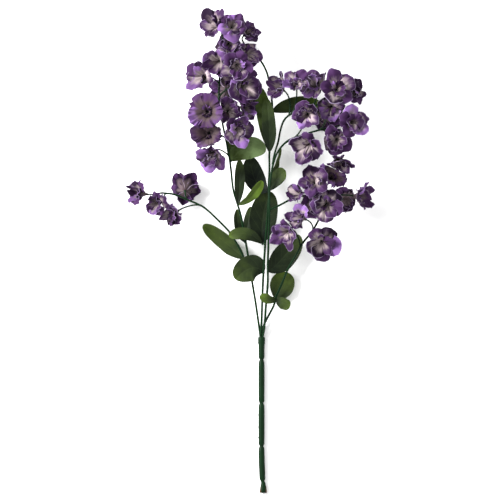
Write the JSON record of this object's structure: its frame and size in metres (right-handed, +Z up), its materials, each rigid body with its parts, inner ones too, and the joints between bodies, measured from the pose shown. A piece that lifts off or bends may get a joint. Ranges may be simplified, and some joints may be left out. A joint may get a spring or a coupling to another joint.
{
  "type": "artificial flower spray",
  "caption": "Artificial flowering spray lying on its back: a ribbed plastic stem that parts into thin side stems with cloth leaves and clusters of ruffled purple cloth blooms.",
  "frame": {"origin": "bottom centre of the whole spray's box, on the surface that it lies on", "axes": "+Y along the stem from the cut end to the blooms, +Z up from the surface, +X to the right seen from above"},
  "size_m": [0.304, 0.598, 0.0876],
  "materials": {
    "petal_fabric": "woven cloth, matte",
    "leaf_fabric": "woven cloth, matte",
    "stem_plastic": "moulded, low sheen"
  },
  "bodies": {
    "root": {"handle": "stem_plastic", "stem_centre_left": "stem_plastic", "stem_centre_right": "stem_plastic", "stem_left": "stem_plastic", "stem_right": "stem_plastic", "leaf_01": "leaf_fabric", "leaf_02": "leaf_fabric", "leaf_03": "leaf_fabric", "leaf_04": "leaf_fabric", "leaf_05": "leaf_fabric", "leaf_06": "leaf_fabric", "leaf_07": "leaf_fabric", "leaf_08": "leaf_fabric", "leaf_09": "leaf_fabric", "leaf_10": "leaf_fabric", "leaf_11": "leaf_fabric", "leaf_12": "leaf_fabric", "bloom_left_01": "petal_fabric", "bloom_left_02": "petal_fabric", "bloom_left_03": "petal_fabric", "bloom_left_04": "petal_fabric", "bloom_lower_01": "petal_fabric", "bloom_lower_02": "petal_fabric", "bloom_lower_03": "petal_fabric", "bloom_lower_04": "petal_fabric", "bloom_lower_05": "petal_fabric", "bloom_lower_06": "petal_fabric", "bloom_lower_07": "petal_fabric", "bloom_lower_08": "petal_fabric", "bloom_lower_09": "petal_fabric", "bloom_lower_10": "petal_fabric", "bloom_right_01": "petal_fabric", "bloom_right_02": "petal_fabric", "bloom_right_03": "petal_fabric", "bloom_right_04": "petal_fabric", "bloom_right_05": "petal_fabric", "bloom_right_06": "petal_fabric", "bloom_right_07": "petal_fabric", "bloom_right_08": "petal_fabric", "bloom_right_09": "petal_fabric", "bloom_right_10": "petal_fabric", "bloom_right_11": "petal_fabric", "bloom_right_12": "petal_fabric", "bloom_top_01": "petal_fabric", "bloom_top_02": "petal_fabric", "bloom_top_03": "petal_fabric", "bloom_top_04": "petal_fabric", "bloom_top_05": "petal_fabric", "bloom_top_06": "petal_fabric", "bloom_top_07": "petal_fabric", "bloom_top_08": "petal_fabric", "bloom_top_09": "petal_fabric", "bloom_top_10": "petal_fabric", "bloom_top_11": "petal_fabric", "bloom_top_12": "petal_fabric", "bloom_top_13": "petal_fabric", "bloom_top_14": "petal_fabric", "bloom_top_15": "petal_fabric", "bloom_top_16": "petal_fabric", "bloom_top_17": "petal_fabric"}
  },
  "joints": []
}
